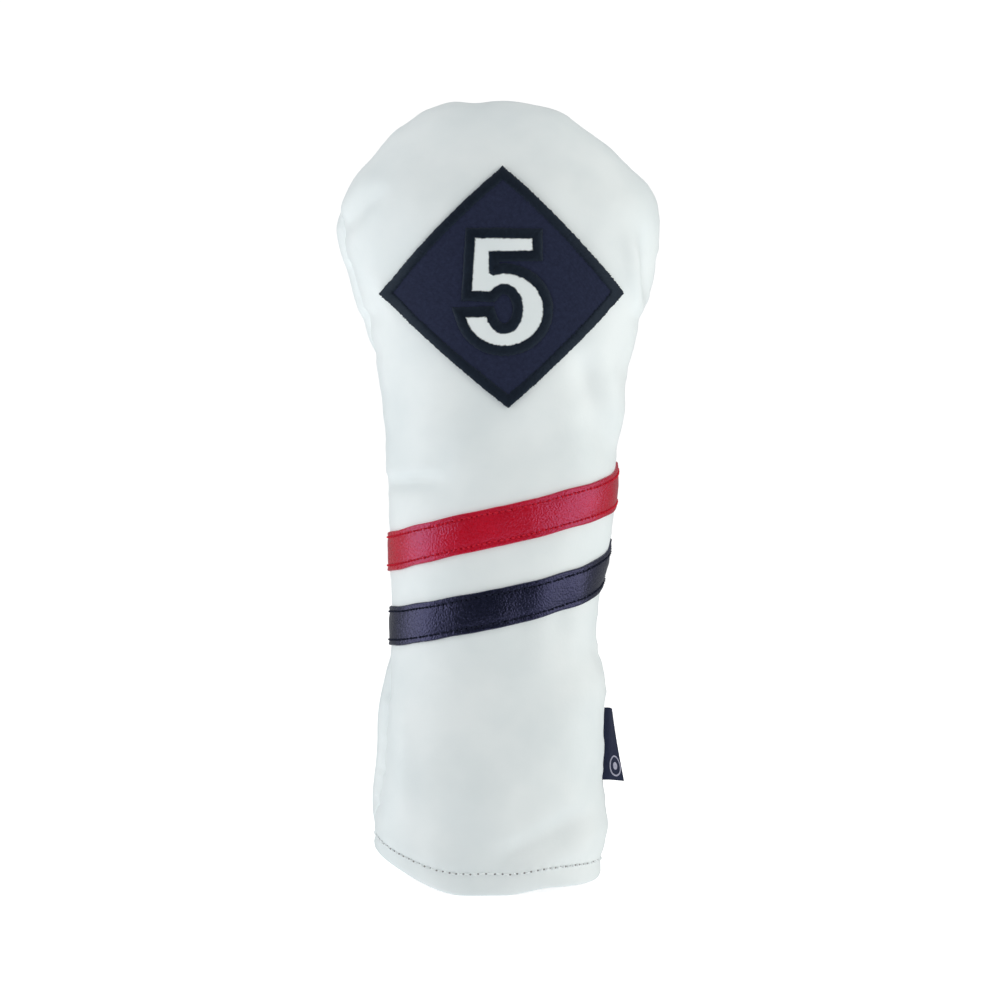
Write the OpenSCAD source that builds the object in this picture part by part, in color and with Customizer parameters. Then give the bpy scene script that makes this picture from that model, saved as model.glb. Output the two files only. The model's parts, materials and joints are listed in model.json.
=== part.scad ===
// Slip-on leather headcover for a fairway wood, standing on its hem with the head end up.
// X runs across the front (right is positive), Y runs from front to back, Z runs up.
// Millimetres. The two leather panels meet in a seam that lies in the plane y = 0.

/* [Overall shape] */
// Greatest width, across the head
head_w = 120.5; // [112:0.5:128]
// Greatest depth, front to back, across the head
head_d = 86; // [76:1:96]
// Height of the widest part of the head above the hem
head_z = 245; // [236:1:254]
// Rise of the crown above the widest part
crown_h = 46.5; // [40:0.5:54]
// Width of the barrel just under the head
barrel_w = 90; // [84:0.5:96]
// Width at the gathered neck
neck_w = 76.5; // [72:0.5:84]
// Height of the gathered neck above the hem
neck_z = 94; // [84:1:104]
// Width of the skirt below the neck
skirt_w = 86.5; // [80:0.5:92]
// Rise of the hem at the left seam
hem_rise = 14; // [0:0.5:16]
// Rise of the hem at the right seam
hem_rise_right = 2.4; // [0:0.1:5]

/* [Leather and lining] */
// Thickness of the leather
leather_t = 1.2; // [0.9:0.1:1.6]
// Width of the seam allowance turned inside
allowance = 6; // [4:0.5:7]
// Height of the hem turned up inside
hem_turn = 12; // [10:0.5:16]
// Thickness of the fleece lining
fleece_t = 2; // [1.5:0.1:2.5]

/* [Stripes] */
// Width of each stripe
stripe_w = 14.4; // [10:0.1:18]
// Height of the red stripe at the left seam
red_z = 123.3; // [115:0.1:130]
// How far the red stripe climbs across the front
red_climb = 21; // [0:0.1:30]
// Bow of the red stripe, where 1 is a straight line seen from the front
red_bow = 1.1; // [1:0.05:2]
// How far the red stripe kicks up beside the right seam
red_kick = 5.5; // [0:0.1:10]
// Height of the navy stripe at the left seam
navy_z = 96; // [90:0.5:100]
// How far the navy stripe climbs across the front
navy_climb = 17.5; // [0:0.1:30]
// Bow of the navy stripe, where 1 is a straight line seen from the front
navy_bow = 1.25; // [1:0.05:2]
// How far the navy stripe kicks up beside the right seam
navy_kick = 7.9; // [0:0.1:10]

/* [Number patch] */
// Height of the middle of the patch
patch_z = 218.2; // [205:0.1:230]
// Shift of the patch to the right of the middle
patch_x = 1; // [-3:0.1:3]
// Half of the patch's width, corner to corner
patch_half_w = 44.2; // [30:0.1:46]
// Half of the patch's height, corner to corner
patch_half_h = 43; // [30:0.1:46]
// Outward bow of each side of the patch
patch_bow = 1.2; // [0:0.1:3]
// Width of the embroidered edges
satin_w = 3.8; // [2:0.1:5]
// Height of the numeral
numeral_h = 37.5; // [24:0.5:40]

/* [Label] */
// Height of the woven side label
label_h = 27; // [16:0.5:32]
// Length of the label that stands out of the seam
label_l = 9.6; // [8:0.1:16]
// Height of the label's lower edge above the hem
label_z = 38; // [30:0.5:50]
// Angle of the label at rest, from straight out towards the back
label_angle = 60; // [0:1:70]

/* [Hidden] */

FRONT = -1;
BACK = 1;
LEFT = 180;
RIGHT = 0;

// Half of the slit between the two panels at the seam, which the label's root fills
seam_gap = 0.25;
// Clear space between layers that lie on each other
ply_gap = 0.15;
// Roundness of a cross section, where 2 is an ellipse
section_power = 2.3;
// Roundness of the crown, where 2 is an ellipse
crown_power = 1.9;
// Crown angle at which the panels close onto the seam
crown_end = 84;
lining_in = 2.9;
lining_edge = 1.7;
thread_r = 0.3;
elastic_t = 1;
elastic_w = 20;
backing_t = 0.4;
patch_t = 1;
satin_t = 0.6;
numeral_t = 0.7;
label_t = 0.9;
emblem_t = 0.15;
// Whole thickness of the patch and its numeral on the leather
applique_t = 2 * ply_gap + patch_t + numeral_t;
head_hw = head_w / 2;
head_hd = head_d / 2;
// The back is deeper by the applique, so that the middle of the cover is at y = 0
back_hd = head_hd + applique_t;

// Sections from the hem up: height, half width, shift to the right, half depth in front, behind
SECTIONS = [
    [0, skirt_w / 2 - 1.8, -4, 35, 34],
    [22, skirt_w / 2, -4, 36.5, 35.5],
    [60, skirt_w / 2 - 0.7, -3.2, 36, 34],
    [neck_z, neck_w / 2, -2.4, 34.5, 28.5],
    [133, barrel_w / 2 - 3, 0.2, 36.5, 35],
    [178, barrel_w / 2, 0.6, 39, 39],
    [200, barrel_w / 2 + 4.4, 1.4, head_hd - 1.6, back_hd - 2.6],
    [222, head_hw - 4.4, 1.4, head_hd - 0.4, back_hd - 0.8],
    [head_z, head_hw, 0, head_hd, back_hd]
];
LAST = len(SECTIONS) - 1;

// ---- The cover's surface ----

// Slope of column k of SECTIONS at row i
function slope(i, k) =
    i == LAST ? 0 :
    let (a = max(i - 1, 0), b = i + 1)
    (SECTIONS[b][k] - SECTIONS[a][k]) / (SECTIONS[b][0] - SECTIONS[a][0]);

// Row of SECTIONS that height z falls in
function row_at(z, i = 0) = (i >= LAST - 1 || z < SECTIONS[i + 1][0]) ? i : row_at(z, i + 1);

// Column k of SECTIONS at height z, on a smooth curve through the rows
function along(z, k) =
    let (
        i = row_at(z),
        step = SECTIONS[i + 1][0] - SECTIONS[i][0],
        t = (z - SECTIONS[i][0]) / step,
        t2 = t * t,
        t3 = t2 * t
    )
    (2 * t3 - 3 * t2 + 1) * SECTIONS[i][k] + (t3 - 2 * t2 + t) * step * slope(i, k)
    + (3 * t2 - 2 * t3) * SECTIONS[i + 1][k] + (t3 - t2) * step * slope(i + 1, k);

// Power of x that keeps its sign
function bend(x, power) = sign(x) * pow(abs(x), 2 / power);

// One level of the surface: [half width, shift, half depth, height], moved in by inset.
// Level u is a height up to head_z, and above that head_z plus an angle up the crown.
function level(u, inset, side) =
    u <= head_z
    ? [along(u, 1) - inset, along(u, 2), along(u, side == FRONT ? 3 : 4) - inset, u]
    : let (
          c = bend(cos(u - head_z), crown_power),
          s = bend(sin(u - head_z), crown_power),
          depth = side == FRONT ? head_hd : back_hd
      )
      [(head_hw - inset) * c, 0, (depth - inset) * c, head_z + (crown_h - inset) * s];

// Rise of the hem at turn t, fading out as height z nears the neck
function hem_lift(t, z) =
    let (
        left = max(0, (-cos(t) - 0.2) / 0.8),
        right = max(0, min(1, (cos(t) - 0.1) / 0.4)),
        fade = max(0, 1 - z / (neck_z / 2))
    )
    (hem_rise * pow(left, 1.55) + hem_rise_right * right * right * (3 - 2 * right)) * fade;

// A point of the surface at level u, turned t from the right seam round to the left seam.
// It stays at least edge away from the seam plane.
function skin(u, t, inset, side, edge = seam_gap) =
    let (v = level(u, inset, side))
    [
        v[1] + v[0] * bend(cos(t), section_power),
        side * max(edge, v[2] * bend(max(0, sin(t)), section_power)),
        v[3] + hem_lift(t, v[3])
    ];

// ---- Building blocks ----

// Closed solid between two grids of points with the same rows and columns
module sheet(outer, inner) {
    rows = len(outer);
    cols = len(outer[0]);
    n = rows * cols;
    function quad(a, b, c, d) = [[a, b, c], [a, c, d]];
    faces = [
        for (i = [0:rows - 2], j = [0:cols - 2])
            let (a = i * cols + j, b = a + 1, c = b + cols, d = a + cols)
            each concat(quad(a, d, c, b), quad(n + a, n + b, n + c, n + d)),
        for (i = [0:rows - 2])
            let (a = i * cols, d = a + cols, b = a + cols - 1, c = b + cols)
            each concat(quad(a, n + a, n + d, d), quad(b, c, n + c, n + b)),
        for (j = [0:cols - 2])
            let (a = j, b = j + 1, d = (rows - 1) * cols + j, c = d + 1)
            each concat(quad(a, b, n + b, n + a), quad(d, n + d, n + c, c))
    ];
    polyhedron(points = concat([for (r = outer) each r], [for (r = inner) each r]), faces = faces);
}

// The same for a sheet on the back, whose faces turn the other way
module sided_sheet(outer, inner, side) {
    if (side == FRONT) sheet(outer, inner);
    else sheet(inner, outer);
}

// Straight rod from a to b
module rod(a, b, r) {
    d = b - a;
    length = norm(d);
    translate(a)
        rotate([0, acos(d[2] / length), atan2(d[1], d[0])])
            cylinder(r = r, h = length, $fn = 16);
}

// Row of stitches along a list of points, each shorter than its step by the hole between two
module stitches(points, r = thread_r, hole = 0.8) {
    for (i = [0:len(points) - 2]) {
        d = points[i + 1] - points[i];
        trim = d * (hole / 2 / norm(d));
        rod(points[i] + trim, points[i + 1] - trim, r);
    }
}

// ---- Leather panels ----

panel_turns = 20;
turns = [for (k = [0:panel_turns]) k * 180 / panel_turns];

// Rows of a panel: [outer level, outer inset, inner level, inner inset, allowance]
turned_in = leather_t + ply_gap;
PANEL_ROWS = concat(
    [
        [hem_turn, turned_in + leather_t, hem_turn, turned_in, 0],
        [leather_t, turned_in + leather_t, leather_t + 0.3, turned_in, 0],
        [0, turned_in + 0.6, leather_t + 0.15, turned_in - 0.03, 0],
        [0, leather_t / 2, leather_t + 0.15, leather_t + 0.03, 0],
        [leather_t, 0, leather_t + 0.3, leather_t, 0],
        [hem_turn + 0.4, 0, hem_turn + 0.4, leather_t, 0],
        [hem_turn + 1.4, 0, hem_turn + 1.4, leather_t, allowance]
    ],
    [for (z = [22, 32, 42, 52, 62, 71, 79, 87, 94, 101, 109, 118, 130, 144, 158, 171, 183, 195, 207, 219, 232])
        [z, 0, z, leather_t, allowance]],
    [for (a = [0:12:crown_end])
        [head_z + a, 0, head_z + a, leather_t, allowance]]
);

// End of the seam allowance beside a seam, at the given inset from the outline
function allowance_end(u, inset, width, side, seam, y) =
    let (v = level(u, inset + width, side), way = seam == RIGHT ? 1 : -1)
    [v[1] + way * v[0], side * y, v[3] + hem_lift(seam, v[3])];

function panel_row(u, inset, width, side, inner) =
    let (y = inner && width > 0 ? seam_gap + leather_t : seam_gap,
         first = inner || width == 0 ? seam_gap + leather_t : seam_gap,
         reach = inner && width > 0 ? width - leather_t : width)
    concat(
        [allowance_end(u, inset, reach, side, RIGHT, y)],
        [for (t = turns) skin(u, t, inset, side, (t == LEFT || t == RIGHT) ? first : seam_gap)],
        [allowance_end(u, inset, reach, side, LEFT, y)]
    );

// The last row lies on the crown's seam and closes the panel
function crown_row(inset, side, inner) =
    let (y = inner ? seam_gap + leather_t : seam_gap,
         v = level(head_z + crown_end, inset, side),
         in_end = level(head_z + crown_end, inset + allowance, side))
    concat(
        [[in_end[0], side * y, in_end[3] + 0.2]],
        [for (t = turns) [v[0] * bend(cos(t), section_power), side * y, head_z + crown_h - inset]],
        [[-in_end[0], side * y, in_end[3] + 0.2]]
    );

module panel(side) {
    outer = concat([for (r = PANEL_ROWS) panel_row(r[0], r[1], r[4], side, false)],
                   [crown_row(0, side, false)]);
    inner = concat([for (r = PANEL_ROWS) panel_row(r[2], r[3], r[4], side, true)],
                   [crown_row(leather_t, side, true)]);
    sided_sheet(outer, inner, side);
}

module front_panel() { color("whitesmoke") panel(FRONT); }
module back_panel() { color("white") panel(BACK); }

// ---- Fleece lining ----

lining_turns = [for (k = [0:14]) k * 180 / 14];
LINING_ROWS = concat([4, 16, 30, 46, 62, 74, 84, 94, 104, 116, 132, 152, 174, 192, 208, 226],
                     [for (a = [0:14:crown_end]) head_z + a]);

function lining_grid(inset, side) = concat(
    [for (u = LINING_ROWS) [for (t = lining_turns) skin(u, t, inset, side, lining_edge)]],
    [[for (t = lining_turns)
        let (v = level(head_z + crown_end, inset, side))
        [v[0] * bend(cos(t), section_power), side * lining_edge, head_z + crown_h - inset]]]
);

module lining(side) {
    sided_sheet(lining_grid(lining_in, side), lining_grid(lining_in + fleece_t, side), side);
}

module front_lining() { color("lightgray") lining(FRONT); }
module back_lining() { color("silver") lining(BACK); }

// ---- Threads of the seam and the hem ----

seam_inset = 2.2;
seam_pitch = 5.5;
seam_levels = concat([for (z = [16:seam_pitch:head_z - 1]) z],
                     [for (a = [1:seam_pitch:crown_end]) head_z + a]);

// Stitches that join the two seam allowances, from the left hem over the crown to the right hem
module seam_thread() {
    half = seam_gap + leather_t + thread_r;
    color("gainsboro")
        for (u = seam_levels, seam = [LEFT, RIGHT]) {
            p = allowance_end(u, seam_inset, 0, FRONT, seam, 0);
            rod(p + [0, -half, 0], p + [0, half, 0], thread_r);
        }
}

hem_stitch_z = 8;
hem_pitch_turn = 5;

module hem_thread() {
    color("gainsboro")
        for (side = [FRONT, BACK])
            stitches([for (t = [5:hem_pitch_turn:175])
                skin(hem_stitch_z, t, -thread_r - ply_gap, side)]);
}

// ---- Stripes ----

stripe_turns = [for (k = [0:20]) 2 + k * 176 / 20];

// Run of a stripe: height at the left seam, climb, bow and kick
RED_RUN = [red_z, red_climb, red_bow, red_kick];
NAVY_RUN = [navy_z, navy_climb, navy_bow, navy_kick];
kick_turn = 17.5;

// Height of a stripe's middle at turn t
function stripe_height(run, t) =
    run[0] + run[1] * pow((1 + cos(t)) / 2, run[2]) + run[3] * exp(-t / kick_turn);

// A point of the stripe, offset across from its middle line, outset from the leather
function stripe_point(run, t, across, outset) =
    skin(stripe_height(run, t) + across, t, -outset, FRONT);

module stripe(run) {
    rows = [for (k = [0:4]) (k / 4 - 0.5) * stripe_w];
    sheet([for (r = rows) [for (t = stripe_turns) stripe_point(run, t, r, ply_gap + leather_t)]],
          [for (r = rows) [for (t = stripe_turns) stripe_point(run, t, r, ply_gap)]]);
}

stitch_in = 2;
stripe_pitch_turn = 4;

module stripe_thread(run, edge) {
    across = edge * (stripe_w / 2 - stitch_in);
    lift = 2 * ply_gap + leather_t + thread_r;
    stitches([for (t = [6:stripe_pitch_turn:174]) stripe_point(run, t, across, lift)]);
}

module red_stripe() { color("crimson") stripe(RED_RUN); }
module red_thread_upper() { color("firebrick") stripe_thread(RED_RUN, 1); }
module red_thread_lower() { color("firebrick") stripe_thread(RED_RUN, -1); }
module navy_stripe() { color("midnightblue") stripe(NAVY_RUN); }
module navy_thread_upper() { color("navy") stripe_thread(NAVY_RUN, 1); }
module navy_thread_lower() { color("navy") stripe_thread(NAVY_RUN, -1); }

// ---- Number patch ----

// A point out of the front at x, z, which carries on evenly from the head into the crown
function front_face(x, z, out) =
    let (
        s = z <= head_z ? 0 : pow((z - head_z) / (crown_h + out), crown_power),
        c = pow(1 - s, 1 / crown_power),
        v = z <= head_z ? level(z, -out, FRONT) : [(head_hw + out) * c, 0, (head_hd + out) * c],
        r = min(1, abs(x - v[1]) / v[0])
    )
    [x, -v[2] * pow(1 - pow(r, section_power), 1 / section_power), z];

// Layer of the front between two distances out of the leather, within half_w and half_h of a place
module front_layer(low, high, mid_x, mid_z, half_w, half_h, steps) {
    function grid(out) = [
        for (i = [0:steps])
            [for (j = [0:steps])
                front_face(mid_x + half_w * (1 - 2 * j / steps), mid_z - half_h * (1 - 2 * i / steps), out)]
    ];
    sheet(grid(high), grid(low));
}

// Closed strip on the front between two outlines with the same number of points
module front_band(outer, inner, low, high) {
    n = len(outer);
    function ring(outline, out) = [for (p = outline) front_face(p[0], p[1], out)];
    points = concat(ring(outer, high), ring(inner, high), ring(inner, low), ring(outer, low));
    faces = [
        for (k = [0:3], i = [0:n - 1])
            let (a = k * n + i, b = k * n + (i + 1) % n, c = (a + n) % (4 * n), d = (b + n) % (4 * n))
            each [[a, c, d], [a, d, b]]
    ];
    polyhedron(points = points, faces = faces);
}

// Cuts a flat outline, drawn as seen from the front about the place, out of a layer of the front
module applique(low, high, mid_x, mid_z, half_w, half_h, steps) {
    intersection() {
        front_layer(low, high, mid_x, mid_z, half_w, half_h, steps);
        translate([mid_x, 0, mid_z])
            rotate([90, 0, 0])
                linear_extrude(head_d)
                    children();
    }
}

// Outline of the patch, whose sides bow outwards, drawn in by inset
side_steps = 16;
function diamond(inset) =
    let (
        shrink = inset * sqrt(2),
        w = patch_half_w - shrink,
        h = patch_half_h - shrink,
        corners = [[w, 0], [0, h], [-w, 0], [0, -h]]
    )
    [
        for (k = [0:3], i = [0:side_steps - 1])
            let (a = corners[k], b = corners[(k + 1) % 4], t = i / side_steps)
            a + (b - a) * t + (a + b) / norm(a + b) * patch_bow * 4 * t * (1 - t)
    ];

module patch_layer(inset, low, high) {
    reach = 1;
    applique(low, high, patch_x, patch_z, patch_half_w + reach, patch_half_h + reach, 14)
        polygon(diamond(inset));
}

// Numeral, drawn about its own middle: flag, stem and open bowl
bowl_x = -0.3;
bowl_steps = 16;
function bowl(rx, rz, z, from, to) = [
    for (k = [0:bowl_steps])
        let (a = from + (to - from) * k / bowl_steps)
        [bowl_x + rx * cos(a), z + rz * sin(a)]
];
numeral_outline = concat(
    [[-11.3, 1.1], [-10.2, 18.7], [9.3, 18.5], [9.3, 15.7], [-5.4, 15.7], [-6.4, 14.7], [-6, 6.2]],
    bowl(13.4, 12.4, -6.3, 106, -166),
    bowl(7, 9.2, -5.6, -160, 136)
);
numeral_x = 1.8;
numeral_z = patch_z - 1.8;

module numeral() {
    scale(numeral_h / 37.5)
        polygon(numeral_outline);
}

module numeral_layer(low, high) {
    applique(low, high, numeral_x, numeral_z, numeral_h * 0.5, numeral_h * 0.64, 8)
        children();
}

layer_1 = ply_gap + patch_t;
layer_2 = layer_1 + ply_gap;

module patch_backing() {
    behind = leather_t + 5 * ply_gap;
    color("lightsteelblue")
        patch_layer(satin_w / 2, -behind - backing_t, -behind);
}

module diamond_patch() { color("midnightblue") patch_layer(0, ply_gap, layer_1); }

module patch_border() {
    move = [patch_x, patch_z];
    color("darkslategray")
        front_band([for (p = diamond(0.2)) p + move], [for (p = diamond(satin_w)) p + move],
                   layer_2 + ply_gap, layer_2 + ply_gap + satin_t);
}

module numeral_inlay() { color("white") numeral_layer(layer_2, layer_2 + numeral_t) numeral(); }

module numeral_border() {
    color("navy")
        numeral_layer(layer_2, layer_2 + satin_t)
            difference() {
                offset(r = satin_w, $fn = 24) numeral();
                offset(delta = 0.15) numeral();
            }
}

// ---- Neck elastic, between the back panel and its lining ----

elastic_turns = [for (k = [0:14]) 12 + k * 156 / 14];
elastic_in = leather_t + 2 * ply_gap;

module elastic_band() {
    rows = [for (k = [0:3]) neck_z + (k / 3 - 0.5) * elastic_w];
    color("ivory")
        sided_sheet([for (z = rows) [for (t = elastic_turns) skin(z, t, elastic_in, BACK)]],
                    [for (z = rows) [for (t = elastic_turns) skin(z, t, elastic_in + elastic_t, BACK)]],
                    BACK);
}

module elastic_thread(z) {
    color("gainsboro")
        stitches([for (t = [12:4:168]) skin(z, t, -thread_r - 2 * ply_gap, BACK)]);
}

module elastic_thread_upper() { elastic_thread(neck_z + elastic_w / 2 - 3); }
module elastic_thread_lower() { elastic_thread(neck_z - elastic_w / 2 + 3); }

// ---- Side label ----

label_mid = level(label_z + label_h / 2, 0, FRONT);
seam_x = label_mid[1] + label_mid[0];
hinge_x = seam_x + 0.9;
root_t = 2 * seam_gap - 0.06;
root_in = 5;

// Flat part of the label that is caught between the seam allowances
module label_root() {
    color("midnightblue")
        translate([seam_x - root_in, -root_t / 2, label_z])
            cube([root_in + 0.2, root_t, label_h]);
}

// Places things drawn on the flap, which starts at the hinge and lies along +X before it swings
module on_flap() {
    translate([hinge_x, 0, label_z])
        rotate([0, 0, label_angle])
            children();
}

// Folded flap that stands out of the seam and swings about it
module label_flap() {
    color("midnightblue")
        on_flap()
            union() {
                cylinder(d = label_t, h = label_h, $fn = 32);
                translate([0, -label_t / 2, 0])
                    cube([label_l - label_t / 2, label_t, label_h]);
                translate([label_l - label_t / 2, 0, 0])
                    cylinder(d = label_t, h = label_h, $fn = 32);
            }
}

// Plain ring and dot, woven on the face that shows
module label_emblem() {
    ring_r = 3.7;
    color("lightsteelblue")
        on_flap()
            translate([ring_r + 1, -label_t / 2, ring_r + 1.7])
                rotate([90, 0, 0])
                    linear_extrude(emblem_t) {
                        difference() {
                            circle(r = ring_r, $fn = 48);
                            circle(r = ring_r - 0.7, $fn = 48);
                        }
                        circle(r = 1.5, $fn = 32);
                    }
}

front_panel();
back_panel();
front_lining();
back_lining();
seam_thread();
hem_thread();
red_stripe();
red_thread_upper();
red_thread_lower();
navy_stripe();
navy_thread_upper();
navy_thread_lower();
patch_backing();
diamond_patch();
patch_border();
numeral_inlay();
numeral_border();
elastic_band();
elastic_thread_upper();
elastic_thread_lower();
label_root();
label_flap();
label_emblem();
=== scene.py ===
"""Visual model of a slip-on leather headcover for a fairway wood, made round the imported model.

X runs across the front (right is positive), Y from front to back, Z up. Lengths are in
millimetres in this file, and become metres in build().
"""

import json
import math

import bmesh
import bpy
import numpy as np
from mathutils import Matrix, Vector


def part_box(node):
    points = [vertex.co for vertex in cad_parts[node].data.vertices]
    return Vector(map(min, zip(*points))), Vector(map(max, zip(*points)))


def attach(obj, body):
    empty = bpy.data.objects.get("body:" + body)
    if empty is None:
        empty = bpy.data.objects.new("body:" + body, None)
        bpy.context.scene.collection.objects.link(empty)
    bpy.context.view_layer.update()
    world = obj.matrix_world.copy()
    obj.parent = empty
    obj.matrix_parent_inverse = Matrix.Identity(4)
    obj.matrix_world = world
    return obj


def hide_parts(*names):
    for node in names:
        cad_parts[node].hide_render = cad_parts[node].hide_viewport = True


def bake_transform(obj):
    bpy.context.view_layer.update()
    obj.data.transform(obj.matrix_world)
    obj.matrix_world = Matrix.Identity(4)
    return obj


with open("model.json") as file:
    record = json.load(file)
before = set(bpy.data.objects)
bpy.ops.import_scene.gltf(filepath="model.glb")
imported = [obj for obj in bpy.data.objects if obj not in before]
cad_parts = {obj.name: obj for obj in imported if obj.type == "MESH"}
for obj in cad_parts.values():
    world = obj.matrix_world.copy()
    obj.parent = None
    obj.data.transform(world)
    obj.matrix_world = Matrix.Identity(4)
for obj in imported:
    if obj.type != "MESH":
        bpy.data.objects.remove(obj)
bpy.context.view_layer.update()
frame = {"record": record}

MM = 0.001
rng = np.random.default_rng(5)

# ---- The cover's surface, with the same sections as the CAD model ----

# Height, half width, shift to the right, half depth in front, half depth behind
SECTIONS = np.array([
    [0, 41.45, -4, 35, 34],
    [22, 43.25, -4, 36.5, 35.5],
    [60, 42.55, -3.2, 36, 34],
    [94, 38.25, -2.4, 34.5, 28.5],
    [133, 42, 0.2, 36.5, 35],
    [178, 45, 0.6, 39, 39],
    [200, 49.4, 1.4, 41.4, 42.4],
    [222, 55.85, 1.4, 42.6, 44.2],
    [245, 60.25, 0, 43, 45],
])
LAST = len(SECTIONS) - 1
HEAD_Z = 245
CROWN_H = 46.5
CROWN_TOP = 90
NECK_Z = 94
HEM_RISE, HEM_RISE_RIGHT = 14, 2.4
SECTION_BEND = 2 / 2.3
CROWN_BEND = 2 / 1.9
LEATHER_T = 1.1

lows, highs = zip(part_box("front_panel"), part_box("back_panel"))
low, high = np.min(lows, axis=0) / MM, np.max(highs, axis=0) / MM
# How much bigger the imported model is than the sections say
FIT = np.array([high[0] / SECTIONS[LAST, 1], 1, high[2] / (HEAD_Z + CROWN_H)])
FIT_FRONT = -low[1] / SECTIONS[LAST, 3]
FIT_BACK = high[1] / SECTIONS[LAST, 4]

SLOPES = np.zeros((LAST + 1, 4))
for i in range(LAST):
    a, b = SECTIONS[max(i - 1, 0)], SECTIONS[i + 1]
    SLOPES[i] = (b[1:] - a[1:]) / (b[0] - a[0])


def smooth(x, start, end):
    """Soft step from 0 at start to 1 at end."""
    k = np.clip((x - start) / (end - start), 0, 1)
    return k * k * (3 - 2 * k)


def band(x, start, end, soft):
    """1 from start to end, with soft steps inside them, and 0 outside."""
    return smooth(x, start, start + soft) * (1 - smooth(x, end - soft, end))


def bump(x, middle, width):
    """Soft hill of height 1."""
    return np.exp(-((x - middle) / width) ** 2)


def signed_power(x, power):
    """The power of x's size, with x's sign."""
    return np.sign(x) * np.abs(x) ** power


def level(u):
    """Half width, shift, half depth in front and behind, and height of one level.

    A level is a height up to HEAD_Z, and above that HEAD_Z plus an angle up the crown.
    """
    below = np.minimum(u, HEAD_Z)
    i = np.clip(np.searchsorted(SECTIONS[:, 0], below, side="right") - 1, 0, LAST - 1)
    step = (SECTIONS[i + 1, 0] - SECTIONS[i, 0])[..., None]
    k = (below - SECTIONS[i, 0])[..., None] / step
    k2, k3 = k * k, k * k * k
    row = ((2 * k3 - 3 * k2 + 1) * SECTIONS[i, 1:] + (k3 - 2 * k2 + k) * step * SLOPES[i]
           + (3 * k2 - 2 * k3) * SECTIONS[i + 1, 1:] + (k3 - k2) * step * SLOPES[i + 1])
    climb = np.radians(np.clip(u - HEAD_Z, 0, CROWN_TOP))
    shrink = np.maximum(np.cos(climb), 0) ** CROWN_BEND
    rise = CROWN_H * np.sin(climb) ** CROWN_BEND
    return (row[..., 0] * shrink, row[..., 1] * shrink, row[..., 2] * shrink,
            row[..., 3] * shrink, below + rise)


def bare(u, t):
    """Point of the smooth surface: t is 0 at the right seam, 90 in front, 180 at the left seam."""
    u, t = np.broadcast_arrays(np.asarray(u, float), np.asarray(t, float))
    half, shift, front, back, z = level(u)
    c, s = np.cos(np.radians(t)), np.sin(np.radians(t))
    left = np.maximum(0, (-c - 0.2) / 0.8) ** 1.55
    right = smooth(c, 0.1, 0.5)
    lift = (HEM_RISE * left + HEM_RISE_RIGHT * right) * np.maximum(0, 1 - z / (NECK_Z / 2))
    depth = np.where(s >= 0, -front * FIT_FRONT, back * FIT_BACK)
    return np.stack([shift + half * signed_power(c, SECTION_BEND),
                     depth * np.abs(s) ** SECTION_BEND, z + lift], axis=-1) * FIT


def normals(surface, u, t):
    """Unit normals, outwards, by small steps along a surface."""
    u = np.clip(u, None, HEAD_Z + CROWN_TOP - 1.2)
    up = surface(u + 0.35, t) - surface(u - 0.35, t)
    on = surface(u, t + 0.3) - surface(u, t - 0.3)
    n = np.cross(up, on)
    return n / np.maximum(np.linalg.norm(n, axis=-1, keepdims=True), 1e-9)


# ---- Dents, folds and puckers of the stuffed leather ----

# x, z, half width, half height, how far out; on the front, the back or both
DENTS = [
    (-32, 149, 15, 5, -1.2, "front"), (-32, 107.5, 6, 3.4, -0.6, "front"),
    (-30.7, 80, 10, 9, -0.9, "front"), (30, 62, 8, 14, 0.5, "front"),
    (-9, 30, 16, 10, 0.6, "front"), (12, 165, 18, 9, -0.5, "front"),
    (51.5, 208.8, 4, 3.2, -1.1, "both"), (-49, 209.6, 4, 3, -0.7, "both"),
    (-46.3, 196.5, 4, 3, -0.6, "both"), (-42.2, 166.7, 4, 4, -0.6, "both"),
    (38, 277, 18, 16, -2.9, "both"), (24, 289, 9, 8, 1.1, "both"), (50, 267, 9, 10, -1.7, "both"),
    (0, 293, 12, 6, -1.0, "both"), (-27, 289, 8, 7, 1.2, "both"), (-49, 270, 9, 8, -1.3, "both"),
    (40, 39, 9, 7, -1.1, "both"), (40, 24, 10, 7, 1.2, "both"), (38, 76, 10, 10, 2.4, "both"),
    (-45, 46, 8, 13, -1.9, "both"), (-44, 13, 9, 8, 2.0, "both"),
    (-9, 292, 6, 7, -1.1, "both"), (-18, 291, 5, 6, 0.6, "both"), (3.7, 292, 7, 6, 0.5, "both"),
    (-41, 127, 5, 9, -0.9, "both"), (40, 190, 14, 6, -0.8, "front"), (34, 176, 12, 5, 0.7, "front"),
    (-30, 287, 5, 5, 0.5, "both"), (-38.5, 279, 4, 4, 0.5, "both"), (-56, 255, 6, 8, -0.8, "both"),
    (-24, 226, 16, 12, -0.9, "back"), (26, 250, 15, 12, 0.8, "back"),
    (18, 170, 14, 18, -1.1, "back"), (-20, 152, 10, 12, 0.8, "back"),
    (2, 34, 18, 10, -0.7, "back"), (-26, 22, 9, 8, 0.6, "back"),
]
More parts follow.
